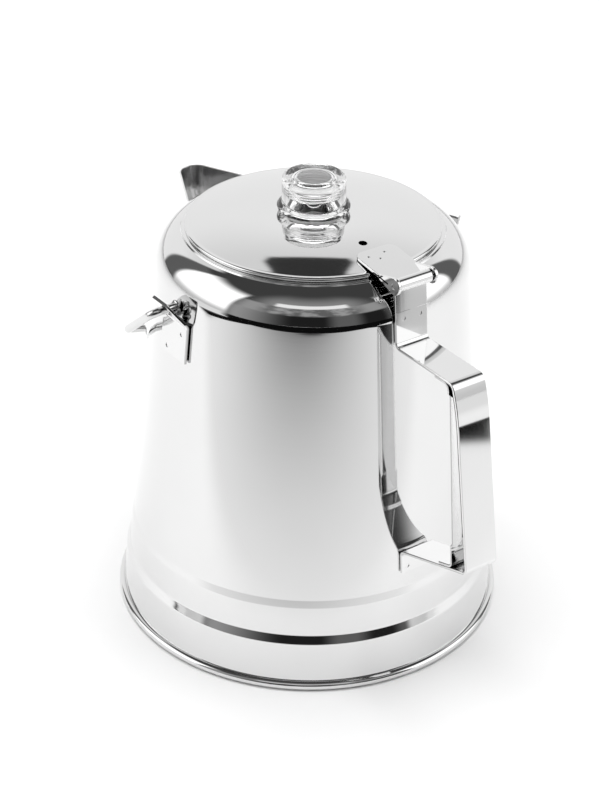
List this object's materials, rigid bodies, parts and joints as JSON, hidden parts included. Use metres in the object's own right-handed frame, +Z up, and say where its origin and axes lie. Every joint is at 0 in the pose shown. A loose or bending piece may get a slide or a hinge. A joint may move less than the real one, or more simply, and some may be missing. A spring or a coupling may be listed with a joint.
{
  "type": "stovetop percolator coffee pot",
  "caption": "Tapered polished steel stovetop percolator with hinged lid, glass knob, strap handle, pouring lip, wire bail and lift-out brewing insert.",
  "frame": {"origin": "centre of the flat base, on the surface that the pot stands on", "axes": "+X towards the pouring lip, -X towards the handle, +Y towards the left ear as the user holds the handle, +Z up"},
  "size_m": [0.2397, 0.19, 0.2218],
  "materials": {
    "polished_steel": "mirror polished stainless sheet",
    "wire_steel": "bright drawn stainless wire",
    "insert_steel": "satin stainless",
    "knob_glass": "clear moulded glass",
    "silicone": "translucent silicone"
  },
  "bodies": {
    "pot": {"body_shell": "polished_steel", "bottom_plate": "polished_steel", "base_rim": "polished_steel", "spout": "polished_steel", "handle_strap": "polished_steel", "handle_liner": "polished_steel", "ear_left": "polished_steel", "ear_right": "polished_steel"},
    "lid": {"lid_shell": "polished_steel", "lid_collar": "insert_steel", "lid_tab": "polished_steel", "hinge_pin": "wire_steel", "knob_gasket": "silicone"},
    "knob": {"knob": "knob_glass"},
    "bail": {"bail": "wire_steel"},
    "pump": {"pump_stem": "insert_steel", "stem_collar": "insert_steel", "pump_base": "insert_steel"},
    "valve": {"pump_valve": "insert_steel"},
    "basket": {"basket": "insert_steel", "basket_tube": "insert_steel"},
    "basket_lid": {"basket_lid": "insert_steel"}
  },
  "joints": [
    {"name": "lid_hinge", "type": "hinge", "parent": "pot", "child": "lid", "pos_m": [-0.0743, 0, 0.2], "axis": [0, -1, 0], "range_deg": [0, 110]},
    {"name": "bail_swing", "type": "hinge", "parent": "pot", "child": "bail", "pos_m": [0, 0, 0.1765], "axis": [0, -1, 0], "range_deg": [0, 214]},
    {"name": "knob_twist", "type": "hinge", "parent": "lid", "child": "knob", "pos_m": [0, 0, 0.204], "axis": [0, 0, 1], "range_deg": [0, 90]},
    {"name": "pump_lift", "type": "slide", "parent": "pot", "child": "pump", "axis": [0, 0, 1], "range_m": [0, 0.003]},
    {"name": "valve_lift", "type": "slide", "parent": "pump", "child": "valve", "axis": [0, 0, 1], "range_m": [0, 0.002]},
    {"name": "basket_lift", "type": "slide", "parent": "pump", "child": "basket", "axis": [0, 0, 1], "range_m": [0, 0.004]},
    {"name": "basket_lid_lift", "type": "slide", "parent": "basket", "child": "basket_lid", "axis": [0, 0, 1], "range_m": [0, 0.004]}
  ]
}
